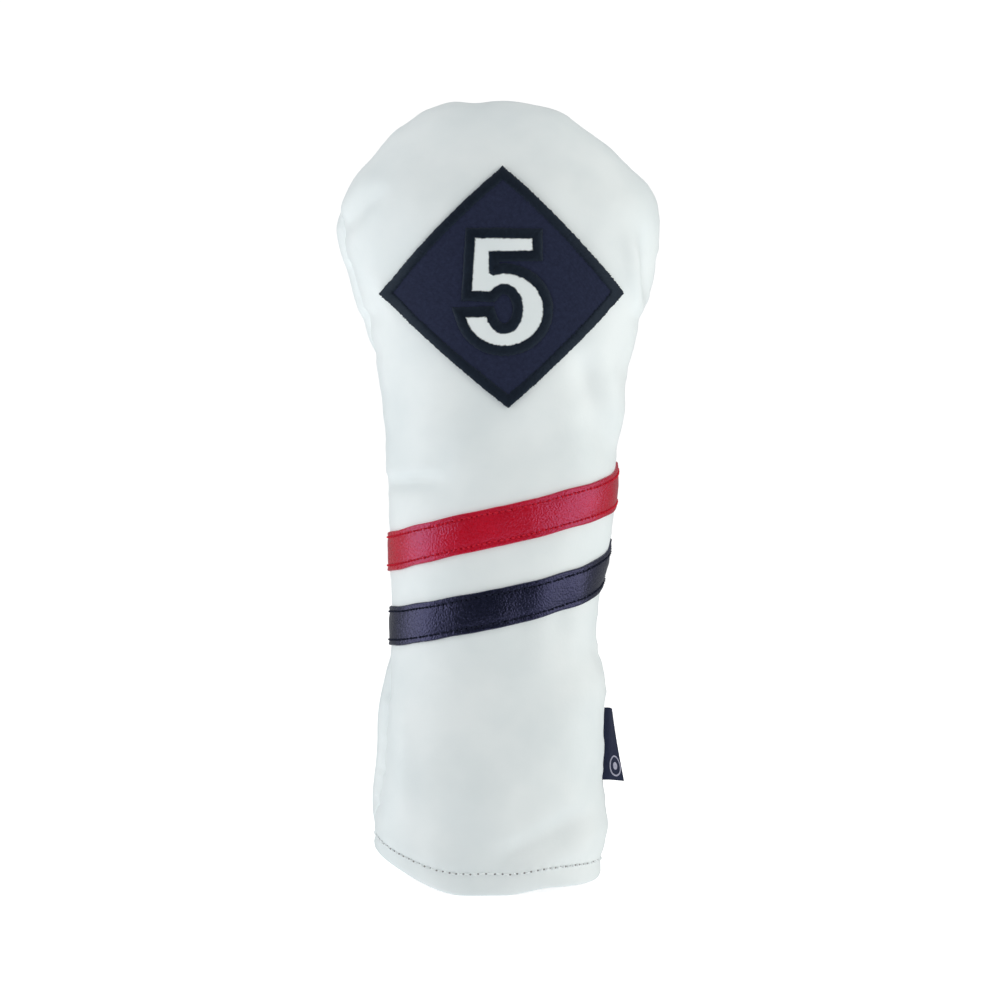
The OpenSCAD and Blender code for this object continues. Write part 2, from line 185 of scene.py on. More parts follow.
# From x, z to x, z, width, depth of the valley, height of the ridge on its right or upper side
CREASES = [
    (-61, 240, -42, 255, 4.2, 2.0, 1.1, "front"), (53, 241, 55, 214, 3.0, 2.4, -0.2, "front"),
    (46, 239, 51.6, 212, 3.0, -1.7, 0.2, "front"), (29, 196, 40, 156, 5, 1.9, 1.4, "front"),
    (-49, 148, -22, 150, 2.4, 2.1, 0.8, "front"), (-52, 226, -44, 206, 3.0, 0.9, 0.6, "front"),
    (34, 91, 37.5, 78, 2.6, 0.8, 0.5, "front"), (38, 31, -4, 11.5, 4.8, 2.4, 1.2, "front"),
    (-36, 68, -35, 30, 4.5, -0.8, 0.1, "front"), (-30, 192, -39, 160, 6, 0.5, 0.4, "front"),
    (8, 118, 6, 84, 5, 0.35, 0.2, "front"), (26, 124, 20, 86, 4, 0.4, 0.3, "front"),
    (-30, 200, -14, 160, 6, 1.1, 0.9, "back"), (34, 214, 24, 168, 6, 1.2, 0.8, "back"),
    (-34, 60, -12, 26, 6, 1.3, 0.8, "back"), (30, 58, 18, 22, 6, 1.0, 0.9, "back"),
    (40, 262, 10, 240, 5, 0.9, 0.7, "back"),
]
# Slow waves over the whole cover: direction and phase from the seeded draw
WAVE_LENGTHS = [62, 54, 47, 41, 36, 31, 27, 24, 19, 16, 13, 11]
wave_ways = rng.normal(size=(len(WAVE_LENGTHS), 3))
wave_ways /= np.linalg.norm(wave_ways, axis=1, keepdims=True)
wave_phases = rng.uniform(0, 2 * math.pi, len(WAVE_LENGTHS))

SEAM_FOLD = 1.7
# Where on its way up the left seam lies further forward: from, to and how softly
SEAM_ON_HEAD, SEAM_ON_SKIRT = (192, 262, 18), (4, 90, 26)
WAVE_SLOPE = 0.005
SEAM_PULL, PUCKER_H, GATHER_H = 0.9, 0.27, 1.25
GATHERS = 13
HEM_STITCH_Z = 8
PATCH_X, PATCH_Z, PATCH_HALF_W, PATCH_HALF_H, PATCH_BOW = 1, 218.2, 44.2, 43, 1.2


def seam_turn(u):
    """Where the left seam runs: it wanders some degrees to the front of the side."""
    return 180 - 6.5 * band(u, *SEAM_ON_HEAD) - 15 * band(u, *SEAM_ON_SKIRT)


def seam_distance(p, u):
    """Distance from the seam, measured from front to back."""
    left_seam = bare(u, seam_turn(u))[..., 1]
    return np.abs(np.where(p[..., 0] < 0, p[..., 1] - left_seam, p[..., 1]))


def crease(x, z, x0, z0, x1, z1, width, depth, ridge):
    """A valley from x0, z0 to x1, z1, with a ridge beside it."""
    length = math.hypot(x1 - x0, z1 - z0)
    way = np.array([x1 - x0, z1 - z0]) / length
    along = ((x - x0) * way[0] + (z - z0) * way[1]) / length
    across = (z - z0) * way[0] - (x - x0) * way[1]
    side = across / width
    ends = smooth(along, -0.15, 0.3) * (1 - smooth(along, 0.7, 1.15))
    return ends * (-depth * np.exp(-side ** 2) + ridge * np.exp(-(side - 1.7) ** 2))


def seam_relief(p, u, near):
    """The seams draw the leather in and pucker it; the back swells past the left one."""
    left = p[..., 0] < 0
    run = np.where(u > HEAD_Z, HEAD_Z + (u - HEAD_Z) * 0.95, u) + np.where(left, 3.1, 0)
    pucker = np.sin(run / 1.55) + 0.7 * np.sin(run / 2.7 + 1.3) + 0.5 * np.sin(run / 0.93 + 0.4)
    out = PUCKER_H * pucker * bump(near, 2.2, 4.4) - SEAM_PULL * bump(near, 0, 7.0)
    on_head = band(u, *SEAM_ON_HEAD)
    swell = bump(p[..., 1] - bare(u, seam_turn(u))[..., 1], 8, 5)
    swell = swell * (1.3 * on_head + 0.4 * band(u, 4, 104, 26))
    groove = (1.1 * bump(near, 0, 5.5) * band(u, 44, 106, 22)
              + 1.9 * bump(near, 0, 2.4) * (on_head + band(u, 18, 90, 22)))
    return out + left * (swell - groove)


def gather_relief(z, t):
    """Folds of the back of the neck, where the elastic gathers it."""
    folds = np.sin(np.radians((t - 180) * GATHERS * 2) + 0.9 * np.sin(np.radians(3.1 * t)))
    return GATHER_H * folds * bump(z, NECK_Z, 17 + 5 * np.sin(np.radians(t * 7)))


def hem_relief(u, t):
    """The hem's stitches sink in, and the folded edge swells below them."""
    tug = 1 + 0.35 * np.cos(np.radians(t) * 2 * math.pi * 9.3)
    return 0.35 * bump(u, 3.6, 2.6) + 0.25 * bump(u, 13, 3) - 0.4 * bump(u, HEM_STITCH_Z, 1.7) * tug


def relief(p, u, t):
    """How far the stuffed leather stands out from the smooth surface."""
    x, y, z = p[..., 0], p[..., 1], p[..., 2]
    mask = {"front": smooth(-y, 2, 12), "back": smooth(y, 2, 12), "both": 1.0}
    out = np.zeros_like(x)
    for dx, dz, w, h, amount, where in DENTS:
        out += amount * bump(x, dx, w) * bump(z, dz, h) * mask[where]
    for *line, where in CREASES:
        out += crease(x, z, *line) * mask[where]
    stiff = 1 - 0.55 * mask["front"] * bump(x, PATCH_X, 36) * bump(z, PATCH_Z, 34)
    for length, way, phase in zip(WAVE_LENGTHS, wave_ways, wave_phases):
        size = WAVE_SLOPE * length * (1 if length > 22 else 0.6)
        out += size * stiff * np.sin(2 * math.pi * (p @ way) / length + phase)
    near = seam_distance(p, u)
    out += seam_relief(p, u, near) + hem_relief(u, t)
    out += gather_relief(z, t) * mask["back"] * smooth(near, 3, 12)
    # The embroidery draws the leather down round the patch
    edge = np.abs(x - PATCH_X) / PATCH_HALF_W + np.abs(z - PATCH_Z) / PATCH_HALF_H - 1
    out -= 0.15 * bump(edge * 31, 0.6, 2.6) * mask["front"]
    return out * (1 - 0.5 * smooth(u, HEAD_Z + 75, HEAD_Z + CROWN_TOP))


def stuffed(u, t):
    """The leather's outer face, but for its turn into the seams."""
    p = bare(u, t)
    return p + normals(bare, u, t) * relief(p, u, t)[..., None]


def leather(u, t, extra=0.0):
    """The leather's outer face, with its turn into the seams, and extra further in."""
    p = bare(u, t)
    near = np.minimum(seam_distance(p, u), SEAM_FOLD)
    drop = SEAM_FOLD - np.sqrt(SEAM_FOLD ** 2 - (SEAM_FOLD - near) ** 2) + extra
    return p + normals(bare, u, t) * (relief(p, u, t) - drop)[..., None]


def lifted(u, t, out, surface=leather):
    """A point out from the leather along its own normal."""
    u, t, out = np.broadcast_arrays(np.asarray(u, float), np.asarray(t, float),
                                    np.asarray(out, float))
    return surface(u, t) + normals(surface, u, t) * out[..., None]


def place(x, z):
    """Level and turn of the point of the front at x, z."""
    x, z = np.asarray(x, float) / FIT[0], np.asarray(z, float) / FIT[2]
    rise = np.clip((z - HEAD_Z) / CROWN_H, 0, 0.999)
    u = np.where(z <= HEAD_Z, z, HEAD_Z + np.degrees(np.arcsin(rise ** (1 / CROWN_BEND))))
    half, shift, _, _, _ = level(u)
    across = np.clip((x - shift) / half, -0.999, 0.999)
    return u, np.degrees(np.arccos(signed_power(across, 1 / SECTION_BEND)))


# ---- Meshes ----

def build(name, points, faces, body="cover", flat=False):
    """A mesh object from points in mm, riding on a body unless that is None."""
    mesh = bpy.data.meshes.new(name)
    mesh.from_pydata((np.asarray(points) * MM).tolist(), [], faces)
    bm = bmesh.new()
    bm.from_mesh(mesh)
    bmesh.ops.remove_doubles(bm, verts=bm.verts, dist=1e-6)
    bmesh.ops.dissolve_degenerate(bm, edges=bm.edges, dist=1e-6)
    bmesh.ops.recalc_face_normals(bm, faces=bm.faces)
    bm.to_mesh(mesh)
    bm.free()
    mesh.polygons.foreach_set("use_smooth", [not flat] * len(mesh.polygons))
    piece = bpy.data.objects.new(name, mesh)
    bpy.context.scene.collection.objects.link(piece)
    if body:
        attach(piece, body)
    return piece


def grid_faces(rows, cols, start=0, ring=False):
    """Quads over a grid of points stored row by row; ring joins the last row to the first."""
    faces = []
    for i in range(rows if ring else rows - 1):
        a, b = start + i * cols, start + (i + 1) % rows * cols
        faces += [(a + j, a + j + 1, b + j + 1, b + j) for j in range(cols - 1)]
    return faces


def shell(outer, inner):
    """Closed sheet between two grids of points, as points and faces."""
    rows, cols = outer.shape[:2]
    n = rows * cols
    faces = grid_faces(rows, cols) + [f[::-1] for f in grid_faces(rows, cols, n)]
    rim = ([(0, j) for j in range(cols)] + [(i, cols - 1) for i in range(1, rows)]
           + [(rows - 1, j) for j in range(cols - 2, -1, -1)]
           + [(i, 0) for i in range(rows - 2, 0, -1)])
    edge = [i * cols + j for i, j in rim]
    faces += [(b, a, n + a, n + b) for a, b in zip(edge, edge[1:] + edge[:1])]
    return np.concatenate([outer.reshape(-1, 3), inner.reshape(-1, 3)]), faces


def grid_normals(grid):
    n = np.cross(np.gradient(grid, axis=0), np.gradient(grid, axis=1))
    size = np.linalg.norm(n, axis=-1, keepdims=True)
    return n / np.maximum(size, 1e-9)


def tubes(loops):
    """Closed tubes from an array of loops: tube, ring, point of the ring."""
    count, rings, sides = loops.shape[:3]
    after = [(j + 1) % sides for j in range(sides)]
    faces = []
    for tube in range(count):
        start = tube * rings * sides
        for i in range(rings - 1):
            a, b = start + i * sides, start + (i + 1) * sides
            faces += [(a + j, a + k, b + k, b + j) for j, k in enumerate(after)]
        faces += [tuple(range(start + sides - 1, start - 1, -1)),
                  tuple(range(start + (rings - 1) * sides, start + rings * sides))]
    return loops.reshape(-1, 3), faces


def unit(v):
    return v / np.maximum(np.linalg.norm(v, axis=-1, keepdims=True), 1e-9)


# Rise and thickness of a stitch from one needle hole to the next
STITCH_RISE = np.array([-0.75, 0.1, 0.75, 1.0, 0.75, 0.1, -0.75])
STITCH_GIRTH = np.array([0.7, 0.95, 1.05, 1.08, 1.05, 0.95, 0.7])
STITCH_FLATNESS = 0.8
HOLE_LENGTH, HOLE_DEPTH, HOLE_LIP = 1.15, 0.25, 0.07


def stitches(points, outwards, r, hole=0.16):
    """Bent stitches between neighbouring points, each dipping into the leather at its ends."""
    a, b = points[:-1], points[1:]
    k = np.linspace(hole, 1 - hole, len(STITCH_RISE))
    middle = a[:, None] + (b - a)[:, None] * k[None, :, None]
    up = unit(outwards[:-1] + outwards[1:])[:, None]
    middle = middle + up * (STITCH_RISE * r)[None, :, None]
    side = unit(np.cross((b - a)[:, None], up))
    turn = np.linspace(0, 2 * math.pi, 8, endpoint=False)
    girth = (STITCH_GIRTH * r)[None, :, None, None]
    ring = (np.cos(turn)[None, None, :, None] * side[:, :, None]
            + np.sin(turn)[None, None, :, None] * up[:, :, None] * STITCH_FLATNESS)
    return tubes(middle[:, :, None] + girth * ring)


def needle_holes(points, outwards, along, r):
    """Small ovals where a thread goes through; their dark material is painted shade inside the
    hole.
    """
    turn = np.linspace(0, 2 * math.pi, 8, endpoint=False)
    along, side = unit(along), unit(np.cross(along, outwards))
    ring = points[:, None] + r * (HOLE_LENGTH * np.cos(turn)[None, :, None] * along[:, None]
                                  + np.sin(turn)[None, :, None] * side[:, None])
    low, high = ring - outwards[:, None] * HOLE_DEPTH, ring + outwards[:, None] * HOLE_LIP
    return tubes(np.stack([low, high], axis=1))


def spaced(path, pitch):
    """Even points along a path, about a pitch apart."""
    steps = np.linalg.norm(np.diff(path, axis=0), axis=1)
    run = np.concatenate([[0], np.cumsum(steps)])
    at = np.linspace(0, run[-1], max(2, round(run[-1] / pitch) + 1))
    return np.stack([np.interp(at, run, path[:, k]) for k in range(path.shape[1])], axis=1)


def thread_row(name, u, t, pitch, r, out, material, hole, hole_r, replaced, wander=0.06):
    """A row of stitches along levels u and turns t, with its needle holes, whose material paints
    the shade inside them.
    """
    fine = lifted(u, t, 0)
    at = spaced(np.column_stack([fine, u, t]), pitch)
    u, t = at[:, 3] + rng.normal(0, wander, len(at)), at[:, 4]
    points, outwards = lifted(u, t, out), normals(leather, u, t)
    verts, faces = stitches(points, outwards, r)
    ways = np.gradient(points, axis=0)
    more, rings = needle_holes(lifted(u, t, out - 0.06), outwards, ways, hole_r)
    faces = faces + [tuple(i + len(verts) for i in f) for f in rings]
    piece = build(name, np.concatenate([verts, more]), faces)
    piece.data.materials.append(material)
    # Second material: the hole's dark colour, painted shade inside each needle hole
    piece.data.materials.append(hole)
    for polygon in piece.data.polygons[-len(rings):]:
        polygon.material_index = 1
    if replaced:
        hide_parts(replaced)
    return piece


def finish_piece(piece, material, slot, *replaced):
    piece.data.materials.append(material)
    if replaced:
        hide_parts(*replaced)
    return piece


# ---- Materials ----

def shade(name, color, rough, **sockets):
    """New material with a principled shader; returns it with its node tree's parts."""
    material = bpy.data.materials.new(name)
    material.use_nodes = True
    tree = material.node_tree
    shader = tree.nodes["Principled BSDF"]
    shader.inputs["Base Color"].default_value = (*color, 1)
    shader.inputs["Roughness"].default_value = rough
    for key, value in sockets.items():
        shader.inputs[key.replace("_", " ")].default_value = value
    material.diffuse_color = (*color, 1)
    place_at = tree.nodes.new("ShaderNodeTexCoord").outputs["Object"]
    return material, tree, shader, place_at


def add(tree, kind, inputs=(), **settings):
    node = tree.nodes.new("ShaderNode" + kind)
    for key, value in settings.items():
        setattr(node, key, value)
    for key, value in dict(inputs).items():
        if isinstance(value, bpy.types.NodeSocket):
            tree.links.new(value, node.inputs[key])
        else:
            node.inputs[key].default_value = value
    return node


def tint(tree, shader, factor, dark, light, start=0.3, end=0.7):
    """Colours the shader from dark to light by a factor."""
    ramp = add(tree, "ValToRGB", {"Fac": factor})
    ramp.color_ramp.elements[0].position = start
    ramp.color_ramp.elements[1].position = end
    ramp.color_ramp.elements[0].color = (*dark, 1)
    ramp.color_ramp.elements[1].color = (*light, 1)
    tree.links.new(ramp.outputs["Color"], shader.inputs["Base Color"])
    return ramp


def rough_between(tree, shader, factor, low, high):
    node = add(tree, "MapRange", {"Value": factor, "To Min": low, "To Max": high})
    tree.links.new(node.outputs["Result"], shader.inputs["Roughness"])


def bumps(tree, shader, heights):
    """Chains bumps onto the shader: each is a height, a strength and a depth in mm."""
    normal = None
    for height, strength, depth in heights:
        node = add(tree, "Bump", {"Height": height, "Strength": strength, "Distance": depth * MM})
        if normal:
            tree.links.new(normal, node.inputs["Normal"])
        normal = node.outputs["Normal"]
    tree.links.new(normal, shader.inputs["Normal"])


def noise(tree, at, size_mm, detail=3.0, roughness=0.55):
    return add(tree, "TexNoise", {"Vector": at, "Scale": 1000 / size_mm, "Detail": detail,
                                  "Roughness": roughness}).outputs["Fac"]


def pebbles(tree, at, size_mm):
    """Height of rounded leather grain, highest in the middle of each cell."""
    cell = add(tree, "TexVoronoi", {"Vector": at, "Scale": 1000 / size_mm}, feature="SMOOTH_F1")
    height = add(tree, "Math", {0: 1.0, 1: cell.outputs["Distance"]}, operation="SUBTRACT")
    return height.outputs["Value"]


def ribs(tree, at, pitch_mm, direction="DIAGONAL", wobble=0.0):
    return add(tree, "TexWave", {"Vector": at, "Scale": 314 / pitch_mm, "Distortion": wobble,
                                 "Detail Scale": 2.0},
               wave_type="BANDS", bands_direction=direction).outputs["Fac"]


def leather_material(name, dark, light, grain, rough, speckle=0.0, **sockets):
    """Grained leather; speckle makes the grain finer and its shine more uneven."""
    material, tree, shader, at = shade(name, light, rough, **sockets)
    cloud = noise(tree, at, 34, 3)
    tint(tree, shader, cloud, dark, light, 0.35, 0.62)
    fine = noise(tree, at, 2.2 - 14 * speckle, 5, 0.6)
    rough_between(tree, shader, fine, rough - 0.07 - speckle, rough + 0.07 + speckle)
    bumps(tree, shader, [
        (pebbles(tree, at, 1.15 - 7 * speckle), grain, 0.12 + speckle * 2.5),
        (fine, grain * (0.8 - 7 * speckle), 0.16), (noise(tree, at, 9, 3), 0.22, 0.5)])
    return material


def cloth_material(name, dark, light, pitch, rough, fuzz, wobble=1.5, **sockets):
    """Cloth or thread with ribs a pitch apart."""
    material, tree, shader, at = shade(name, light, rough, Sheen_Weight=fuzz, Sheen_Roughness=0.5,
                                       **sockets)
    mottled = noise(tree, at, 1.3, 4, 0.7)
    tint(tree, shader, mottled, dark, light, 0.3, 0.72)
    rough_between(tree, shader, mottled, rough - 0.06, rough + 0.06)
    bumps(tree, shader, [(ribs(tree, at, pitch, "DIAGONAL", wobble), 0.3, 0.12),
                         (ribs(tree, at, pitch, "Z", wobble), 0.25, 0.1),
                         (noise(tree, at, 0.5, 3, 0.7), 0.35, 0.15)])
    return material


white_leather = leather_material("white leather", (0.765, 0.825, 0.835), (0.83, 0.88, 0.885),
                                 0.16, 0.46, Specular_IOR_Level=0.25)
stripe_shine = {"Specular_IOR_Level": 0.68, "Specular_Tint": (0.5, 0.5, 1, 1)}
red_leather = leather_material("red leather", (0.42, 0.001, 0.008), (0.53, 0.002, 0.012),
                               0.64, 0.29, 0.08, **stripe_shine)
navy_leather = leather_material("navy leather", (0.004, 0.0055, 0.011), (0.006, 0.008, 0.018),
                                0.64, 0.29, 0.08, **stripe_shine)
navy_cloth = cloth_material("navy felt", (0.009, 0.013, 0.035), (0.018, 0.024, 0.057),
                            0.9, 0.9, 0.05, Specular_IOR_Level=0.2)
navy_satin = cloth_material("navy satin thread", (0.004, 0.007, 0.014), (0.009, 0.014, 0.026),
                            0.35, 0.55, 0.0, Specular_IOR_Level=0.3,
                            Specular_Tint=(0.6, 0.78, 1, 1))
backing_cloth = cloth_material("backing cloth", (0.45, 0.50, 0.55), (0.55, 0.60, 0.64),
                               1.0, 0.9, 0.1)
fleece = cloth_material("fleece", (0.60, 0.61, 0.62), (0.74, 0.75, 0.75), 2.2, 0.95, 0.5, 6)
white_thread = cloth_material("white thread", (0.74, 0.79, 0.80), (0.84, 0.88, 0.885),
                              0.4, 0.55, 0.1)
red_thread = cloth_material("red thread", (0.50, 0.006, 0.022), (0.62, 0.014, 0.040),
                            0.4, 0.6, 0.0, Specular_IOR_Level=0.15)
navy_thread = cloth_material("navy thread", (0.005, 0.007, 0.020), (0.010, 0.014, 0.036),
                             0.4, 0.6, 0.0, Specular_IOR_Level=0.15)
elastic = cloth_material("elastic", (0.62, 0.61, 0.57), (0.78, 0.77, 0.73), 1.1, 0.8, 0.1)
woven_label = cloth_material("woven label", (0.010, 0.014, 0.036), (0.018, 0.024, 0.056),
                             0.45, 0.8, 0.0, Specular_IOR_Level=0.2)
grey_yarn = cloth_material("grey yarn", (0.30, 0.30, 0.40), (0.42, 0.42, 0.52), 0.45, 0.7, 0.0)
# Dark colours of the needle holes: painted shade inside each hole, darker than the leather round it
white_hole_shade = cloth_material("painted shade in white leather holes", (0.24, 0.24, 0.24), (0.34, 0.33, 0.325),
                            0.6, 0.9, 0.0)
red_hole_shade = cloth_material("painted shade in red leather holes", (0.33, 0.003, 0.012), (0.40, 0.004, 0.016),
                          0.6, 0.9, 0.0, Specular_IOR_Level=0.0)
navy_hole_shade = cloth_material("painted shade in navy leather holes", (0.002, 0.002, 0.004), (0.004, 0.004, 0.008),
                           0.6, 0.9, 0.0, Specular_IOR_Level=0.0)

# ---- Leather panels and fleece linings ----

STEP = 1.6
HEM_TURN, HEM_FOLD = 12, 1.3
# Columns beside a seam: distance from it, so that they follow its quarter turn
SEAM_COLS = [SEAM_FOLD * (1 - math.sin(math.radians(a))) for a in (90, 72, 56, 42, 29, 17, 7)] + [
    1.9, 2.5, 3.3, 4.3, 5.5]
FLANGE = [1.2, 0.6]


def half_perimeter(u):
    t = np.linspace(0, 180, 73)
    p = bare(np.full_like(t, u), t)
    return t, np.concatenate([[0], np.cumsum(np.linalg.norm(np.diff(p, axis=0), axis=1))])


head_t, head_run = half_perimeter(HEAD_Z)
MIDDLE_COLS = round(head_run[-1] / STEP)


def columns(u):
    """Turns of a panel's columns on one level, from the right seam to the left, as 0 to 180."""
    size = level(np.array([u]))[0][0] / SECTIONS[LAST, 1]
    length = head_run[-1] * size
    squeeze = min(1, length / 40)
    near = np.array(SEAM_COLS) * squeeze
    middle = np.linspace(near[-1], length - near[-1], MIDDLE_COLS)[1:-1]
    run = np.concatenate([near, middle, length - near[::-1]])
    return np.interp(run / max(size, 1e-6), head_run, head_t)


def panel_rows():
    """Levels of a panel with how far each lies inside, from the hem's inner end up."""
    rows = [(z, 2 * HEM_FOLD) for z in np.arange(HEM_TURN, HEM_FOLD, -STEP)]
    rows += [(HEM_FOLD * (1 - math.sin(a)), HEM_FOLD * (1 + math.cos(a)))
             for a in np.linspace(0, math.pi, 7)]
    rows += [(z, 0) for z in np.arange(HEM_FOLD + 0.9, HEAD_Z, STEP)]
    crown_step = STEP / 62 * 180 / math.pi
    rows += [(u, 0) for u in np.arange(HEAD_Z, HEAD_Z + CROWN_TOP - 1, crown_step)]
    return rows + [(HEAD_Z + CROWN_TOP - 0.6, 0)]


def panel_grid(side, rows, surface=leather, inset=0.0, flange=True):
    """Grid of points of one panel: side is 0 for the front and 1 for the back."""
    grid = []
    for u, inside in rows:
        turn = columns(min(u, HEAD_Z + CROWN_TOP - 0.6)) / 180
        left = float(seam_turn(np.array(u)))
        t = turn * left if side == 0 else 360 - turn * (360 - left)
        extra = np.zeros(len(t))
        if flange:
            depth = float(smooth(u, 10, 16)) if inside == 0 else 0
            tail = np.array(FLANGE) * depth + [0.02, 0.01]
            t = np.concatenate([[t[0]] * len(FLANGE), t, [t[-1]] * len(FLANGE)])
            extra = np.concatenate([tail, extra, tail[::-1]])
        level_u = np.full(len(t), float(u))
        p = surface(level_u, t, extra) if surface is leather else surface(level_u, t)
        grid.append(p - normals(bare, level_u, t) * (inside + inset))
    return np.array(grid)


for side, name, node in ((0, "front_leather", "front_panel"), (1, "back_leather", "back_panel")):
    outer = panel_grid(side, panel_rows())
    outwards = grid_normals(outer) * (1 if side == 0 else -1)
    piece = build(name, *shell(outer, outer - outwards * LEATHER_T))
    finish_piece(piece, white_leather, "white_leather", node)

LINING_IN, LINING_T, FLEECE_ROUGHNESS = 3.3, 1.8, 0.22
lining_rows = [(u, 0) for u in np.concatenate([np.arange(4, HEAD_Z, 3.0),
                                               np.arange(HEAD_Z, HEAD_Z + CROWN_TOP - 2, 3.4)])]
for side, name, node in ((0, "front_fleece", "front_lining"), (1, "back_fleece", "back_lining")):
    outer = panel_grid(side, lining_rows, stuffed, LINING_IN, False)[:, 6:-6]
    inner = panel_grid(side, lining_rows, stuffed, LINING_IN + LINING_T, False)[:, 6:-6]
    inner = inner + rng.normal(0, FLEECE_ROUGHNESS, inner.shape)
    piece = build(name, *shell(outer, inner))
    finish_piece(piece, fleece, "fleece", node)

# ---- Seam, hem and elastic threads ----

SEAM_PITCH, SEAM_THREAD_R, SEAM_THREAD_IN = 5.5, 0.28, 0.6
seam_u = np.concatenate([np.arange(16, HEAD_Z, SEAM_PITCH),
                         np.arange(HEAD_Z, HEAD_Z + 84, SEAM_PITCH)])
rods = []
for t in (np.zeros(len(seam_u)), seam_turn(seam_u)):
    p = leather(seam_u, t, np.full(len(seam_u), SEAM_THREAD_IN))
    across = np.array([0, 1, 0])
    n = normals(bare, seam_u, t)
    side = unit(np.cross(n, across))
    turn = np.linspace(0, 2 * math.pi, 6, endpoint=False)
    ring = SEAM_THREAD_R * (np.cos(turn)[None, :, None] * n[:, None]
                            + np.sin(turn)[None, :, None] * side[:, None])
    rods.append(np.stack([p[:, None] + ring + across * k for k in (-1.7, -0.6, 0.6, 1.7)], axis=1))
seam_stitches = build("seam_stitches", *tubes(np.concatenate(rods)))
finish_piece(seam_stitches, white_thread, "white_thread", "seam_thread")

hem_t = np.concatenate([np.linspace(3, 175, 240), np.linspace(185, 357, 240)])
thread_row("hem_stitches", np.full(len(hem_t), float(HEM_STITCH_Z)), hem_t, 4.15, 0.36, 0.12,
           white_thread, white_hole_shade, 0.33, "hem_thread")

ELASTIC_H = 20
ELASTIC_ENDS = (192, 348)
elastic_t = np.linspace(*ELASTIC_ENDS, 200)
for word, way in (("upper", 1), ("lower", -1)):
    z = NECK_Z + way * (ELASTIC_H / 2 - 3)
    thread_row(f"elastic_stitches_{word}", np.full(len(elastic_t), z), elastic_t, 3.2, 0.36, 0.0,
               white_thread, white_hole_shade, 0.4, f"elastic_thread_{word}")
elastic_u = np.linspace(NECK_Z - ELASTIC_H / 2, NECK_Z + ELASTIC_H / 2, 13)
uu, tt = np.meshgrid(elastic_u, np.linspace(*ELASTIC_ENDS, 150), indexing="ij")
neck_elastic = build("neck_elastic", *shell(lifted(uu, tt, -LEATHER_T - 0.4, stuffed),
                                            lifted(uu, tt, -LEATHER_T - 1.3, stuffed)))
finish_piece(neck_elastic, elastic, "elastic", "elastic_band")

# ---- Stripes and their stitches ----

STRIPE_W, STITCH_IN, KICK_TURN = 14.4, 2.0, 17.5
STRIPE_STITCH_R, STRIPE_PITCH = 0.34, 3.0
# Across a stripe: place from -1 to 1 and height, with rounded cut edges and sunk stitch rows
STITCH_AT = 1 - 2 * STITCH_IN / STRIPE_W
SUNK_H = 0.8
PROFILE = [(-1, 0.0), (-1.0, 0.62), (-0.985, 0.9), (-0.95, 1.04), (-0.88, 1.04),
           (-STITCH_AT, SUNK_H), (-0.58, 1.05), (-0.35, 1.16), (0, 1.2), (0.35, 1.16),
           (0.58, 1.05), (STITCH_AT, SUNK_H), (0.88, 1.04), (0.95, 1.04), (0.985, 0.9),
           (1.0, 0.62), (1, 0.0)]


def stripe_height(run, t):
    """Height of a stripe's middle: run is its base, climb, bow and kick at the right seam."""
    base, climb, bow, kick = run
    return base + climb * ((1 + np.cos(np.radians(t))) / 2) ** bow + kick * np.exp(-t / KICK_TURN)


for color, run, hide, thread, hole in (
        ("red", (123.3, 21, 1.1, 5.5), red_leather, red_thread, red_hole_shade),
        ("navy", (96, 17.5, 1.25, 7.9), navy_leather, navy_thread, navy_hole_shade)):
    t = np.concatenate([np.linspace(0.5, 6, 7), np.linspace(7, 173, 130),
                        np.linspace(174, 179.3, 7)])
    place_across = np.array([k for k, _ in PROFILE])[:, None]
    tall = np.array([h for _, h in PROFILE])[:, None]
    wander = 0.12 * np.sin(t / 4.1) + 0.1 * np.sin(t / 9.7 + 1)
    uu = stripe_height(run, t)[None] + place_across * STRIPE_W / 2 + wander[None]
    tt = np.broadcast_to(t, uu.shape)
    # Each stitch is about 4 degrees long, and draws the leather down between its ends
    row_run = np.cos(2 * math.pi * t / 4)[None]
    sunk = 0.1 * row_run * bump(np.abs(place_across), STITCH_AT, 0.1)
    top = lifted(uu, tt, tall + sunk)
    under = lifted(uu, tt, -0.1)
    piece = build(f"{color}_strip", *shell(top, under))
    finish_piece(piece, hide, f"{color}_leather", f"{color}_stripe")
    fine_t = np.linspace(178, 2.5, 300)
    for edge, word in ((1, "upper"), (-1, "lower")):
        fine_u = stripe_height(run, fine_t) + edge * (STRIPE_W / 2 - STITCH_IN)
        thread_row(f"{color}_stitches_{word}", fine_u, fine_t, STRIPE_PITCH, STRIPE_STITCH_R,
                   SUNK_H + 0.06, thread, hole, 0.27, f"{color}_thread_{word}")

# ---- Number patch ----

PATCH_SATIN_W, SATIN_W, SATIN_H, THREAD_PITCH = 3.4, 4.0, 0.75, 0.42
PATCH_OUT, PATCH_TOP = 0.1, 0.95
# How far the patch's right, top, left and bottom corners are from a true square's
PATCH_SKEW = np.array([[-1.1, -1.0], [0, 0], [0, -1.1], [2.0, 0]])


def patch_corner(inset):
    """The patch's right, top, left and bottom corners, about its middle."""
    w, h = PATCH_HALF_W - inset * math.sqrt(2), PATCH_HALF_H - inset * math.sqrt(2)
    return np.array([[w, 0], [0, h], [-w, 0], [0, -h]]) + PATCH_SKEW


def patch_outline(inset, steps):
    """Outline of the patch from its right corner up, with its sides bowed out."""
    corners = patch_corner(inset)
    k = np.arange(steps)[:, None] / steps
    sides = [a + (b - a) * k + unit(a + b) * PATCH_BOW * 4 * k * (1 - k)
             for a, b in zip(corners, np.roll(corners, -1, axis=0))]
    return np.concatenate(sides) + [PATCH_X, PATCH_Z]


